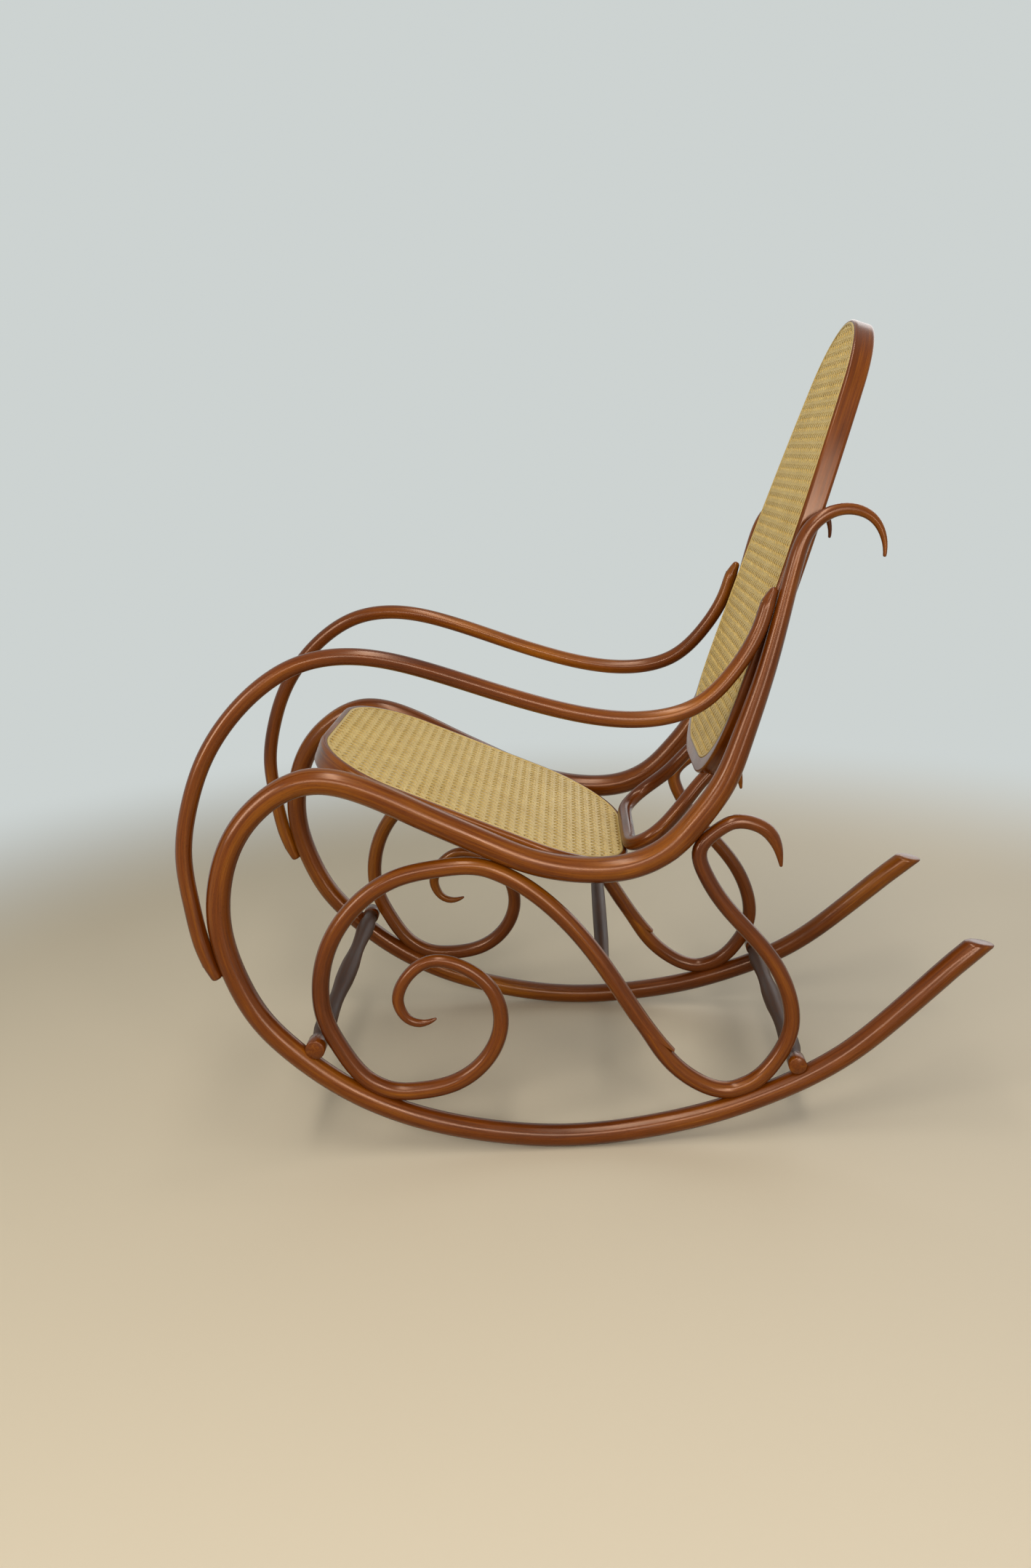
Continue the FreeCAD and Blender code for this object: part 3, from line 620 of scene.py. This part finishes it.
class Finish:
    """A material being put together node by node."""

    def __init__(self, name):
        self.material = bpy.data.materials.new(name)
        self.material.use_nodes = True
        self.tree = self.material.node_tree
        self.shader = next(n for n in self.tree.nodes if n.type == "BSDF_PRINCIPLED")

    def add(self, kind, settings=None, **sockets):
        """A node with its settings, and values or links for its sockets."""
        made = self.tree.nodes.new(kind)
        for key, value in (settings or {}).items():
            setattr(made, key, value)
        for key, value in sockets.items():
            self.put(made.inputs[key.replace("_", " ")], value)
        return made

    def put(self, socket, value):
        """Links the socket, or gives it a number or a colour."""
        if isinstance(value, bpy.types.NodeSocket):
            self.tree.links.new(value, socket)
        elif hasattr(socket.default_value, "__len__") and len(socket.default_value) == 4 and len(value) == 3:
            socket.default_value = (*value, 1.0)
        else:
            socket.default_value = value

    def grain(self, across, along):
        """The straightened place on a rod or ring, scaled across and along the wood."""
        place = self.add("ShaderNodeAttribute", {"attribute_name": "grain"})
        return self.add("ShaderNodeMapping", Vector=place.outputs["Vector"],
                        Scale=(across, across, along)).outputs["Vector"]

    def noise(self, vector, scale, detail=3.0, roughness=0.5, distortion=0.0):
        return self.add("ShaderNodeTexNoise", Vector=vector, Scale=scale, Detail=detail, Roughness=roughness,
                        Distortion=distortion).outputs["Fac"]

    def ramp(self, factor, stops):
        """Colours between stops of position and colour."""
        made = self.add("ShaderNodeValToRGB", Fac=factor)
        band = made.color_ramp
        while len(band.elements) < len(stops):
            band.elements.new(0.5)
        for element, (position, colour) in zip(band.elements, stops):
            element.position = position
            element.color = (*colour, 1.0)
        return made.outputs["Color"]

    def span(self, value, low, high, out_low, out_high):
        return self.add("ShaderNodeMapRange", {"clamp": True}, Value=value, From_Min=low, From_Max=high,
                        To_Min=out_low, To_Max=out_high).outputs["Result"]

    def mix(self, factor, first, second, blend="MIX"):
        made = self.add("ShaderNodeMix", {"data_type": "RGBA", "blend_type": blend})
        self.put(made.inputs[0], factor)
        self.put(made.inputs[6], first)
        self.put(made.inputs[7], second)
        return made.outputs[2]

    def math(self, operation, first, second):
        made = self.add("ShaderNodeMath", {"operation": operation})
        self.put(made.inputs[0], first)
        self.put(made.inputs[1], second)
        return made.outputs[0]

    def blend(self, first, first_share, second, second_share):
        """The sum of two patterns, each times its share."""
        return self.math("ADD", self.math("MULTIPLY", first, first_share),
                         self.math("MULTIPLY", second, second_share))

    def bump(self, height, distance, strength):
        made = self.add("ShaderNodeBump", Height=height, Distance=distance, Strength=strength)
        self.put(self.shader.inputs["Normal"], made.outputs["Normal"])

    def surface(self, **sockets):
        for key, value in sockets.items():
            self.put(self.shader.inputs[key.replace("_", " ")], value)


def grey(value):
    return (value, value, value)


def bentwood_finish(colours):
    """Stained and varnished bent beech: drifting stain, streaks along the rod, fine pores, soft gloss."""
    wood = Finish("varnished_bentwood")
    drift = wood.noise(wood.grain(1, 0.25), 9.0, 3.0, 0.55, 0.3)
    streaks = wood.noise(wood.grain(1, 0.035), 170.0, 5.0, 0.6, 0.6)
    fibres = wood.noise(wood.grain(1, 0.03), 900.0, 3.0, 0.6)
    flecks = wood.noise(wood.grain(1, 0.16), 1500.0, 1.0, 0.5)
    colour = wood.ramp(wood.blend(drift, 0.75, streaks, 0.45),
                       [(0.42, tuple(colours.wood_dark)), (0.60, tuple(colours.wood_middle)),
                        (0.78, tuple(colours.wood_light))])
    colour = wood.mix(1.0, colour, wood.ramp(fibres, [(0.30, grey(0.74)), (0.62, grey(1.06))]), "MULTIPLY")
    pores = wood.ramp(flecks, [(0.30, grey(0.62)), (0.40, grey(1.0))])
    colour = wood.mix(0.7, colour, wood.mix(1.0, colour, pores, "MULTIPLY"))
    rough = wood.span(wood.noise(wood.grain(1, 0.5), 40.0, 4.0), 0.3, 0.7, 0.18, 0.27)
    wood.surface(Base_Color=colour, Roughness=rough, IOR=1.5, Specular_Tint=(1.0, 0.68, 0.48))
    wood.bump(wood.blend(fibres, 0.6, drift, 0.4), 0.0001, 0.3)
    return wood.material


def turned_finish(colours):
    """Dull dark stain on turned wood, with open grain along the stretcher."""
    wood = Finish("turned_stretcher_wood")
    drift = wood.noise(wood.grain(1, 0.3), 14.0, 3.0, 0.5)
    fibres = wood.noise(wood.grain(1, 0.04), 420.0, 5.0, 0.65, 0.4)
    rings = wood.noise(wood.grain(0.2, 1.0), 600.0, 1.0)
    colour = wood.ramp(wood.blend(drift, 0.5, fibres, 0.55),
                       [(0.38, tuple(colours.turned_dark)), (0.68, tuple(colours.turned_light))])
    wood.surface(Base_Color=colour, Roughness=wood.span(fibres, 0.3, 0.7, 0.42, 0.58), IOR=1.3)
    wood.bump(wood.blend(fibres, 0.7, rings, 0.3), 0.00012, 0.6)
    return wood.material


def cane_finish(colours):
    """Straw coloured cane: a tone for each strand, drifting patches, fine specks, a silky sheen."""
    cane = Finish("woven_cane")
    tone = cane.add("ShaderNodeAttribute", {"attribute_name": "tone"}).outputs["Fac"]
    place = cane.add("ShaderNodeTexCoord").outputs["Object"]
    patches = cane.noise(place, 22.0, 4.0, 0.6)
    specks = cane.noise(place, 700.0, 2.0, 0.5)
    colour = cane.ramp(cane.blend(tone, 0.22, patches, 0.7),
                       [(0.15, tuple(colours.cane_dark)), (0.80, tuple(colours.cane_light))])
    colour = cane.mix(1.0, colour, cane.ramp(specks, [(0.30, grey(0.72)), (0.55, grey(1.0))]), "MULTIPLY")
    cane.surface(Base_Color=colour, Roughness=cane.span(specks, 0.3, 0.7, 0.38, 0.55), IOR=1.48)
    cane.bump(specks, 0.00008, 0.5)
    return cane.material


def brass_finish(colours):
    """Dull brass of the screw heads, darkened in spots."""
    brass = Finish("screw_brass")
    place = brass.add("ShaderNodeTexCoord").outputs["Object"]
    spots = brass.noise(place, 600.0, 4.0, 0.6)
    colour = brass.mix(brass.span(spots, 0.35, 0.65, 0.0, 1.0), tuple(c * 0.35 for c in colours.brass),
                       tuple(colours.brass))
    brass.surface(Base_Color=colour, Metallic=1.0, Roughness=brass.span(spots, 0.3, 0.7, 0.30, 0.55))
    brass.bump(spots, 0.00004, 0.4)
    return brass.material


def shared(maker, name):
    """A finish made once and used by several pieces."""
    return bpy.data.materials.get(name) or maker(bpy.context.scene.chair_colours)


def bentwood():
    return shared(bentwood_finish, "varnished_bentwood")


def around(faces):
    """The faces with their edges and points, as the cutting tool takes them."""
    return list({v for f in faces for v in f.verts} | {e for f in faces for e in f.edges} | set(faces))


def cut_rod(bm, faces, spot, normal, outer):
    """Cuts a rod off on one side of a plane through the given faces, and returns the new end's faces."""
    bmesh.ops.bisect_plane(bm, geom=around(faces), dist=1e-6, plane_co=spot, plane_no=normal,
                           clear_outer=outer, clear_inner=not outer)
    edges = [e for e in bm.edges if e.is_boundary]
    return bmesh.ops.holes_fill(bm, edges=edges, sides=0)["faces"]


class CHAIR_OT_side_rods(bpy.types.Operator):
    """Bend the side rails, arms and scrolls of both sides"""

    bl_idname = "chair.side_rods"
    bl_label = "Side rods"

    def execute(self, context):
        sizes = context.scene.chair_rods
        rail, spot = rod_mesh(side_rod(SIDE_RAIL), sizes, round_ends=(False, True))
        self.cut_tip(rail)
        finish_pair(rail, spot, "side_rail", [bentwood()])
        arm, spot = rod_mesh(side_rod(ARM), sizes)
        finish_pair(arm, spot, "arm", [bentwood()])
        self.scrolls(sizes)
        return {"FINISHED"}

    def cut_tip(self, bm):
        """The slanting cut at the rear tip of the runner, its edge softened.

        The rings near the cut go first, because the softened edge is wider than their steps.
        """
        ring_reach, cut_reach, softness = 0.062, 0.080, 0.0055
        low, high = (Vector((0, u, v)) * MM for u, v in TIP_CUT)
        normal = Vector((1, 0, 0)).cross(high - low).normalized()
        along = (high - Vector((0, *SIDE_RAIL[1][:2])) * MM).normalized()
        rings = [e for e in bm.edges if (e.verts[0].co - high).length < ring_reach
                 and abs((e.verts[1].co - e.verts[0].co).normalized().dot(along)) < 0.5
                 and all(len(f.verts) == 4 for f in e.link_faces)]
        bmesh.ops.dissolve_edges(bm, edges=rings, use_verts=True)
        near = [f for f in bm.faces if any((v.co - high).length < cut_reach for v in f.verts)]
        rim = list({e for f in cut_rod(bm, near, low, normal, True) for e in f.edges})
        bmesh.ops.bevel(bm, geom=rim, offset=softness, offset_type="OFFSET", affect="EDGES", segments=6,
                        profile=0.5, material=-1, clamp_overlap=True)
        bmesh.ops.recalc_face_normals(bm, faces=bm.faces)

    def scrolls(self, sizes):
        """Front and rear scroll, which meet in a long slanting joint."""
        out = Vector((1, 0, 0)).cross(SCARF_RUN)
        slant = (SCARF_RUN * SCARF_LENGTH / 2 + out * SCARF_SLANT).normalized()
        normal = Vector((1, 0, 0)).cross(slant).normalized()
        heart = SCARF_MIDDLE * MM
        reach = (SCARF_LENGTH / 2 + 2) * MM
        cut_reach = 0.055
        for name, points in (("front_scroll", FRONT_SCROLL), ("rear_scroll", REAR_SCROLL)):
            upper = name == "front_scroll"
            rod = side_rod(points)
            middle = rod.nearest(heart)
            start, end = (0.0, middle + reach) if upper else (middle - reach, rod.knots[-1])
            bm, spot = rod_mesh(rod, sizes, start, end, (upper, not upper))
            near = [f for f in bm.faces if (f.calc_center_median() - heart).length < cut_reach]
            cut_rod(bm, near, heart, normal, not upper)
            bmesh.ops.recalc_face_normals(bm, faces=bm.faces)
            finish_pair(bm, spot, name, [bentwood()])


class CHAIR_OT_bow(bpy.types.Operator):
    """Bend the bow between the rear of the seat and the foot of the back"""

    bl_idname = "chair.bow"
    bl_label = "Bow behind the seat"

    def execute(self, context):
        spots = [Vector(p[:3]) * MM + SHIFT for p in BOW]
        widths = [p[3] * MM for p in BOW]
        mirrored = [Vector((-p.x, p.y, p.z)) for p in spots[-2::-1]]
        face_of_bow = Vector((0.0, -0.6833, 0.7302))
        rod = BentRod(spots + mirrored, widths + widths[-2::-1], face_of_bow)
        bm, spot = rod_mesh(rod, context.scene.chair_rods)
        write_grain(bm, spot, BOW_GRAIN)
        finish_piece(bm, "back_bow_bent", [bentwood()], ["back_bow"])
        return {"FINISHED"}


class CHAIR_OT_stretchers(bpy.types.Operator):
    """Turn the three stretchers between the sides"""

    bl_idname = "chair.stretchers"
    bl_label = "Stretchers"

    def execute(self, context):
        for name, (y, z, half, belly, waist, neck, cap) in (("front_stretcher", FRONT_STRETCHER),
                                                            ("rear_stretcher", REAR_STRETCHER)):
            profile = [(0, belly), (0.12, belly * 0.97), (0.24, belly * 0.84), (0.33, waist), (0.42, waist),
                       (0.54, belly * 0.86), (0.66, belly), (0.76, belly * 0.93), (0.85, neck), (0.89, neck),
                       (0.90, cap - 1), (0.905, cap), (0.996, cap), (1, cap - 1), (1, 0)]
            self.turn(name, y, z, half, profile)
        y, z, half = SCROLL_STRETCHER
        self.turn("scroll_stretcher", y, z, half,
                  [(0, 10.5), (0.3, 10.3), (0.6, 10), (0.93, 8.4), (1, 8.4), (1, 0)])
        return {"FINISHED"}

    def turn(self, name, y, z, half, profile):
        """Spins a profile, given from the middle outwards, about the stretcher's axis.

        The end caps have the finish of the bent rods.
        """
        bm = bmesh.new()
        spot_layer = bm.verts.layers.float_vector.new("spot")
        whole = [(-share, r) for share, r in profile[:0:-1]] + profile
        row = [bm.verts.new((share * half * MM, 0, r * MM)) for share, r in whole]
        edges = [bm.edges.new(pair) for pair in zip(row, row[1:])]
        bmesh.ops.spin(bm, geom=row + edges, cent=(0, 0, 0), axis=(1, 0, 0), dvec=(0, 0, 0),
                       angle=2 * math.pi, steps=48, use_merge=True)
        bmesh.ops.remove_doubles(bm, verts=bm.verts, dist=1e-6)
        bmesh.ops.recalc_face_normals(bm, faces=bm.faces)
        for face in bm.faces:
            face.material_index = int(abs(face.calc_center_median().x) > half * 0.9 * MM)
        for v in bm.verts:
            v[spot_layer] = (v.co.y, v.co.z, v.co.x)
        bmesh.ops.translate(bm, vec=Vector((0, y, z)) * MM + SHIFT, verts=bm.verts)
        write_grain(bm, spot_layer, half * MM)
        finishes = [shared(turned_finish, "turned_stretcher_wood"), bentwood()]
        finish_piece(bm, name + "_turned", finishes, [name], sharp=50)


class CHAIR_OT_panels(bpy.types.Operator):
    """Make the hoops of the seat and the back, their woven cane and the strip that holds it"""

    bl_idname = "chair.panels"
    bl_label = "Seat and back panels"

    def execute(self, context):
        cane = context.scene.chair_cane
        for name, outline, place, rim, ledge, depth, bend, seed in (
                ("seat", seat_outline(), SEAT_PLACE, 0.0125, 0.011, SEAT_DEPTH, 0.005, 4),
                ("back", back_outline(), BACK_PLACE, 0.0120, 0.016, BACK_DEPTH, 0.0038, 9)):
            bm, spot = hoop_mesh(outline, wood_section(rim, ledge, depth, bend), place)
            if name == "back":
                fit_hoop(bm, spot, outline, place, rim, ledge, moved_out(back_outline(0.008, 0.026)),
                         moved_out(back_outline(-0.020, -0.008)))
            write_grain(bm, spot, seed)
            close_hoop(bm)
            finish_piece(bm, name + "_hoop_bent", [bentwood()], [name + "_hoop"])
            bm, spot = hoop_mesh(outline, strip_section(), place)
            write_grain(bm, spot, seed)
            close_hoop(bm)
            finish_piece(bm, name + "_spline_reed", [shared(cane_finish, "woven_cane")],
                         [name + "_spline"])
            layers = weave(outline, place, cane, seed)
            for way, bm in zip(("lengthwise", "crosswise", "diagonal"), layers):
                finish_piece(bm, name + "_cane_" + way, [shared(cane_finish, "woven_cane")],
                             [name + "_cane"], sharp=50)
        return {"FINISHED"}


class CHAIR_OT_screws(bpy.types.Operator):
    """Put the slotted screws into the rods"""

    bl_idname = "chair.screws"
    bl_label = "Screws"

    def execute(self, context):
        arm, front, rear = side_rod(ARM), side_rod(FRONT_SCROLL), side_rod(REAR_SCROLL)
        sets = (
            ("arm_screws", [(arm, (-514.9, 290.5), -1), (arm, (231.8, 743.0), -1)]),
            ("scroll_screws", [(front, (-322, 121), 1), (front, (-150, 414), 1), (rear, (205, 84), -1),
                               (rear, (151, 432), 1), (front, (58, 193), 1), (front, (88, 150), 1)]),
        )
        for name, places in sets:
            bm = bmesh.new()
            spot_layer = bm.verts.layers.float_vector.new("spot")
            for rod, (u, v), turn in places:
                t = rod.nearest(Vector((0, u, v)) * MM)
                along = rod.heading(t)
                way = rod.side.cross(along) * turn
                self.head(bm, rod.place(t) - way * (rod.radius(t) - HEAD_SUNK), way, along)
            finish_pair(bm, spot_layer, name, [shared(brass_finish, "screw_brass")], "slotted")
        return {"FINISHED"}

    def head(self, bm, spot, way, along):
        """A countersunk head with a slot, sunk along way."""
        turn = Matrix((along.cross(way), along, -way)).transposed().to_4x4()
        before = set(bm.verts)
        made = bmesh.ops.create_cone(bm, cap_ends=True, segments=24, radius1=HEAD_FOOT, radius2=HEAD_RADIUS,
                                     depth=HEAD_DEPTH)
        top = [f for f in {f for v in made["verts"] for f in v.link_faces} if f.normal.z > 0.9]
        for side in (-1, 1):
            bmesh.ops.bisect_plane(bm, geom=around(top), dist=1e-6, plane_co=(0, side * SLOT_HALF, 0),
                                   plane_no=(0, 1, 0))
            top = [f for f in bm.faces if f.normal.z > 0.9 and not before.intersection(f.verts)]
        slot = [f for f in top if abs(f.calc_center_median().y) < SLOT_HALF]
        deep = bmesh.ops.extrude_face_region(bm, geom=slot)["geom"]
        bmesh.ops.delete(bm, geom=slot, context="FACES_ONLY")
        bmesh.ops.translate(bm, vec=(0, 0, -SLOT_DEPTH),
                            verts=[g for g in deep if isinstance(g, bmesh.types.BMVert)])
        fresh = [v for v in bm.verts if v not in before]
        place = Matrix.Translation(spot) @ turn @ Matrix.Translation((0, 0, -HEAD_DEPTH / 2))
        bmesh.ops.transform(bm, matrix=place, verts=fresh)
        bmesh.ops.recalc_face_normals(bm, faces=[f for f in bm.faces if not before.intersection(f.verts)])


class CHAIR_OT_studio(bpy.types.Operator):
    """Set up the pale floor, the soft light and the camera"""

    bl_idname = "chair.studio"
    bl_label = "Studio"

    def execute(self, context):
        scene = context.scene
        colours = scene.chair_colours
        scene.view_settings.view_transform = "Standard"
        world = bpy.data.worlds.new("pale_surroundings")
        world.use_nodes = True
        shade = world.node_tree.nodes["Background"]
        shade.inputs["Color"].default_value = (*colours.background, 1.0)
        self.link_seen(world.node_tree, shade.inputs["Strength"], DIM, SEEN)
        scene.world = world
        bm = bmesh.new()
        bmesh.ops.create_circle(bm, cap_ends=True, segments=96, radius=14.0)
        mesh = bpy.data.meshes.new("studio_floor")
        bm.to_mesh(mesh)
        bm.free()
        mesh.materials.append(self.floor_finish(colours))
        floor = bpy.data.objects.new("studio_floor", mesh)
        scene.collection.objects.link(floor)
        for row in LAMPS:
            self.lamp(*row)
        self.camera(scene)
        return {"FINISHED"}

    def floor_finish(self, colours):
        """Pale floor near the chair, which fades into the surroundings further out.

        It is darker to the light that it throws back on the chair than it looks.
        """
        floor = Finish("pale_floor")
        place = floor.add("ShaderNodeTexCoord").outputs["Object"]
        cloud = floor.noise(place, 1.2, 2.0)
        pale = floor.mix(cloud, tuple(colours.floor), tuple(c * 1.04 for c in colours.floor))
        tint = floor.mix(1.0, tuple(c * 0.25 for c in colours.floor), pale)
        self.link_seen(floor.tree, tint.node.inputs[0], 0.0, 1.0)
        floor.surface(Base_Color=tint, Roughness=0.6)
        far = floor.add("ShaderNodeVectorMath", {"operation": "LENGTH"})
        floor.put(far.inputs[0], place)
        fade = floor.span(far.outputs["Value"], 1.15, 2.3, 0.0, 1.0)
        fade.node.interpolation_type = "SMOOTHSTEP"
        glow = floor.add("ShaderNodeEmission", Color=tuple(colours.background))
        self.link_seen(floor.tree, glow.inputs["Strength"], DIM, SEEN)
        blend = floor.add("ShaderNodeMixShader", Fac=fade)
        floor.tree.links.new(floor.shader.outputs["BSDF"], blend.inputs[1])
        floor.tree.links.new(glow.outputs["Emission"], blend.inputs[2])
        output = next(n for n in floor.tree.nodes if n.type == "OUTPUT_MATERIAL")
        floor.tree.links.new(blend.outputs["Shader"], output.inputs["Surface"])
        return floor.material

    def link_seen(self, tree, socket, low, high):
        """Socket goes from low to high for rays that show the surroundings themselves."""
        path = tree.nodes.new("ShaderNodeLightPath")
        total = path.outputs["Is Camera Ray"]
        for name in ("Is Glossy Ray", "Is Transmission Ray"):
            both = tree.nodes.new("ShaderNodeMath")
            both.operation = "MAXIMUM"
            tree.links.new(total, both.inputs[0])
            tree.links.new(path.outputs[name], both.inputs[1])
            total = both.outputs[0]
        level = tree.nodes.new("ShaderNodeMapRange")
        level.inputs["To Min"].default_value = low
        level.inputs["To Max"].default_value = high
        tree.links.new(total, level.inputs["Value"])
        tree.links.new(level.outputs["Result"], socket)

    def lamp(self, name, spot, aim, width, height, watts, colour):
        """A soft oblong lamp that points at aim."""
        light = bpy.data.lights.new(name, "AREA")
        light.shape = "RECTANGLE"
        light.size = width
        light.size_y = height
        light.energy = watts
        light.color = colour
        lamp = bpy.data.objects.new(name, light)
        lamp.location = spot
        lamp.rotation_euler = (Vector(aim) - Vector(spot)).to_track_quat("-Z", "Y").to_euler()
        bpy.context.scene.collection.objects.link(lamp)

    def camera(self, scene):
        """The photograph's view. The chair's axes are worked out in the picture's: right, down, ahead."""
        across = -Vector((VANISH_X, VANISH_Y, FOCAL)).normalized()
        plumb = Vector((math.sin(ROLL), -math.cos(ROLL), 0))
        upward = (plumb - across * plumb.dot(across)).normalized()
        along = upward.cross(across)
        lens = bpy.data.cameras.new("photo_camera")
        lens.sensor_fit = "VERTICAL"
        lens.sensor_height = 36.0
        lens.lens = FOCAL / PICTURE_HEIGHT * lens.sensor_height
        lens.clip_start = 0.05
        lens.clip_end = 100.0
        camera = bpy.data.objects.new("photo_camera", lens)
        rows = (across, along, upward)
        right = Vector([r.x for r in rows])
        up = Vector([-r.y for r in rows])
        back = Vector([-r.z for r in rows])
        turn = Matrix((right, up, back)).transposed().to_4x4()
        camera.matrix_world = Matrix.Translation(CAMERA_SPOT + SHIFT) @ turn
        scene.collection.objects.link(camera)
        scene.camera = camera


class CHAIR_PT_panel(bpy.types.Panel):
    """Pieces of the rocking chair"""

    bl_label = "Rocking Chair"
    bl_idname = "CHAIR_PT_panel"
    bl_space_type = "VIEW_3D"
    bl_region_type = "UI"
    bl_category = "Rocking Chair"

    def draw(self, context):
        scene = context.scene
        for group in (scene.chair_rods, scene.chair_cane, scene.chair_colours):
            box = self.layout.box()
            for key in group.bl_rna.properties.keys():
                if key not in ("rna_type", "name"):
                    box.prop(group, key)
        for operator in OPERATORS:
            self.layout.operator(operator.bl_idname)


GROUPS = (("chair_rods", RodSizes), ("chair_cane", CaneSizes), ("chair_colours", Colours))
OPERATORS = (CHAIR_OT_side_rods, CHAIR_OT_bow, CHAIR_OT_stretchers, CHAIR_OT_panels, CHAIR_OT_screws,
             CHAIR_OT_studio)


def register():
    for name, group in GROUPS:
        bpy.utils.register_class(group)
        setattr(bpy.types.Scene, name, bpy.props.PointerProperty(type=group))
    for item in OPERATORS + (CHAIR_PT_panel,):
        bpy.utils.register_class(item)


def unregister():
    for item in (CHAIR_PT_panel,) + OPERATORS[::-1]:
        bpy.utils.unregister_class(item)
    for name, group in GROUPS[::-1]:
        delattr(bpy.types.Scene, name)
        bpy.utils.unregister_class(group)


def main():
    register()
    for operator in OPERATORS:
        group, name = operator.bl_idname.split(".")
        getattr(getattr(bpy.ops, group), name)()


if __name__ == "__main__":
    main()
